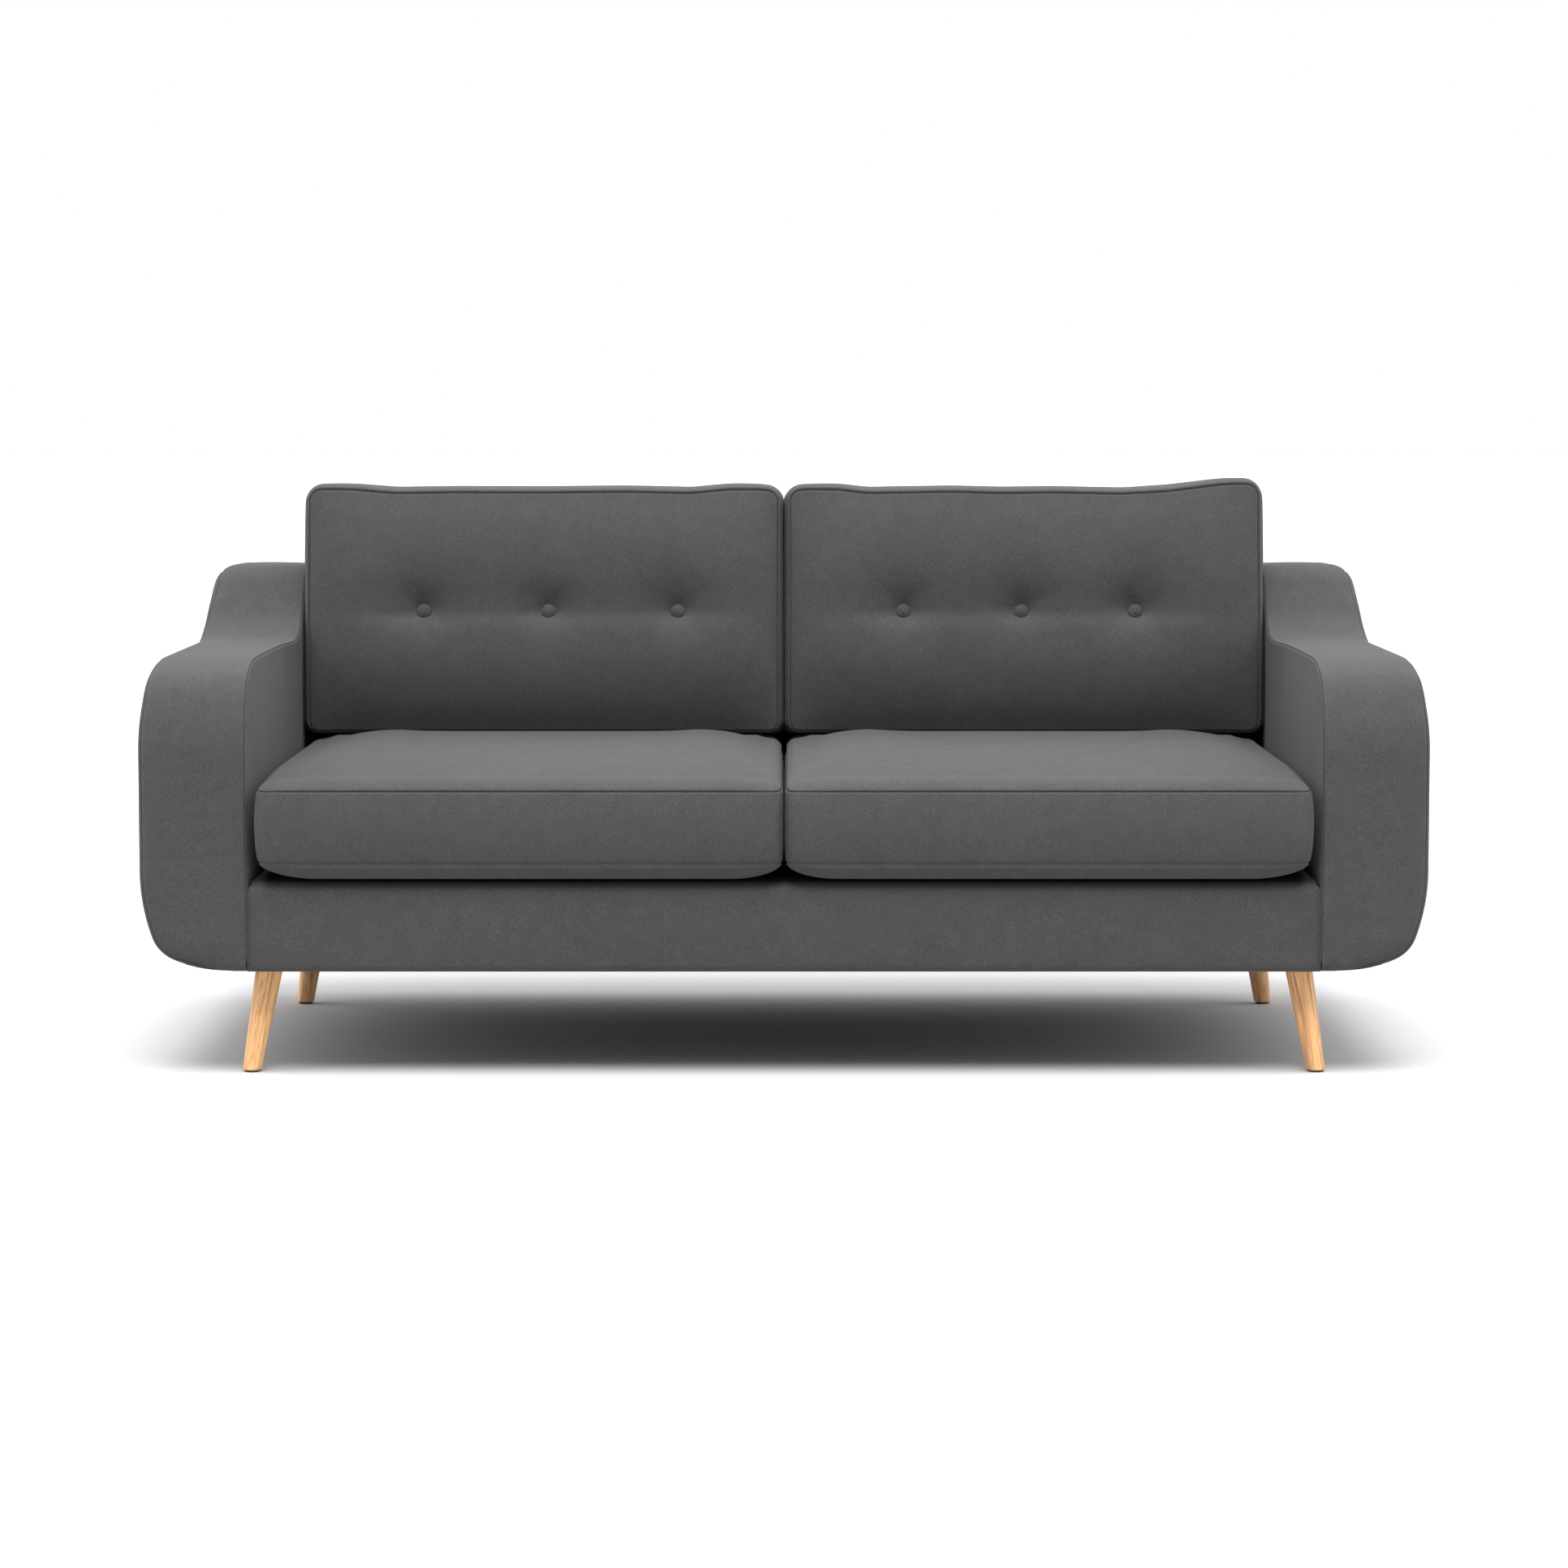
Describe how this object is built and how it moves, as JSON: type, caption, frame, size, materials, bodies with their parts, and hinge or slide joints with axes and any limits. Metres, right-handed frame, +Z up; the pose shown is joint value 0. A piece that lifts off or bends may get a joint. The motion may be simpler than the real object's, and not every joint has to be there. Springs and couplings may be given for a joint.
{
  "type": "sofa",
  "caption": "Long upholstered sofa with flowing padded arms, loose boxed seat cushions, buttoned loose back cushions, a low front border and splayed round tapered wooden legs.",
  "frame": {"origin": "on the floor, under the middle of the sofa's bounding box", "axes": "+X along the sofa towards the arm on the right as seen from the front, -Y to the front, +Z up"},
  "size_m": [1.95, 0.922, 0.888],
  "materials": {
    "grey_cloth": "matte",
    "oak": "satin",
    "frame_timber": "matte",
    "plywood": "matte",
    "steel": "satin",
    "zip_metal": "satin",
    "glide_plastic": "matte",
    "black_cloth": "matte",
    "webbing": "matte",
    "zip_tape": "matte",
    "twine": "matte",
    "padding": "matte"
  },
  "bodies": {
    "frame": {"front_rail": "frame_timber", "rear_rail": "frame_timber", "side_rails": "frame_timber", "centre_rail": "frame_timber", "corner_blocks": "frame_timber", "leg_plates": "steel", "plate_screws": "steel", "leg_front_left": "oak", "leg_front_right": "oak", "leg_rear_left": "oak", "leg_rear_right": "oak", "hanger_bolts": "steel", "foot_glides": "glide_plastic", "seat_springs": "steel", "spring_clips": "steel", "deck_pad": "padding", "deck_cover": "grey_cloth", "front_border_pad": "padding", "front_border_cover": "grey_cloth", "dust_cover": "black_cloth", "arm_panels_left": "plywood", "arm_panels_right": "plywood", "arm_rails_left": "frame_timber", "arm_rails_right": "frame_timber", "arm_pad_left": "padding", "arm_pad_right": "padding", "arm_band_cover_left": "grey_cloth", "arm_band_cover_right": "grey_cloth", "arm_inner_cover_left": "grey_cloth", "arm_inner_cover_right": "grey_cloth", "arm_outer_cover_left": "grey_cloth", "arm_outer_cover_right": "grey_cloth", "arm_bolts": "steel", "back_top_rail": "frame_timber", "back_lower_rail": "frame_timber", "back_posts": "frame_timber", "back_webbing": "webbing", "back_pad": "padding", "back_inside_cover": "grey_cloth", "back_outside_cover": "grey_cloth"},
    "seat_cushion_left": {"seat_cushion_cover_left": "grey_cloth", "seat_cushion_foam_left": "padding", "seat_zip_left": "zip_tape"},
    "back_cushion_left": {"back_cushion_cover_left": "grey_cloth", "back_cushion_fill_left": "padding", "back_zip_left": "zip_tape", "buttons_left": "grey_cloth", "button_ties_left": "twine"},
    "seat_zip_slider_left": {"seat_zip_slider_left": "zip_metal"},
    "back_zip_slider_left": {"back_zip_slider_left": "zip_metal"},
    "seat_cushion_right": {"seat_cushion_cover_right": "grey_cloth", "seat_cushion_foam_right": "padding", "seat_zip_right": "zip_tape"},
    "back_cushion_right": {"back_cushion_cover_right": "grey_cloth", "back_cushion_fill_right": "padding", "back_zip_right": "zip_tape", "buttons_right": "grey_cloth", "button_ties_right": "twine"},
    "seat_zip_slider_right": {"seat_zip_slider_right": "zip_metal"},
    "back_zip_slider_right": {"back_zip_slider_right": "zip_metal"}
  },
  "joints": [
    {"name": "seat_cushion_left_pull", "type": "slide", "parent": "frame", "child": "seat_cushion_left", "axis": [0, -1, 0], "range_m": [0, 0.76]},
    {"name": "back_cushion_left_lift", "type": "slide", "parent": "frame", "child": "back_cushion_left", "axis": [0, 0, 1], "range_m": [0, 0.42]},
    {"name": "seat_zip_left_slide", "type": "slide", "parent": "seat_cushion_left", "child": "seat_zip_slider_left", "axis": [-1, 0, 0], "range_m": [0, 0.57]},
    {"name": "back_zip_left_slide", "type": "slide", "parent": "back_cushion_left", "child": "back_zip_slider_left", "axis": [-1, 0, 0], "range_m": [0, 0.57]},
    {"name": "seat_cushion_right_pull", "type": "slide", "parent": "frame", "child": "seat_cushion_right", "axis": [0, -1, 0], "range_m": [0, 0.76]},
    {"name": "back_cushion_right_lift", "type": "slide", "parent": "frame", "child": "back_cushion_right", "axis": [0, 0, 1], "range_m": [0, 0.42]},
    {"name": "seat_zip_right_slide", "type": "slide", "parent": "seat_cushion_right", "child": "seat_zip_slider_right", "axis": [1, 0, 0], "range_m": [0, 0.57]},
    {"name": "back_zip_right_slide", "type": "slide", "parent": "back_cushion_right", "child": "back_zip_slider_right", "axis": [1, 0, 0], "range_m": [0, 0.57]}
  ]
}
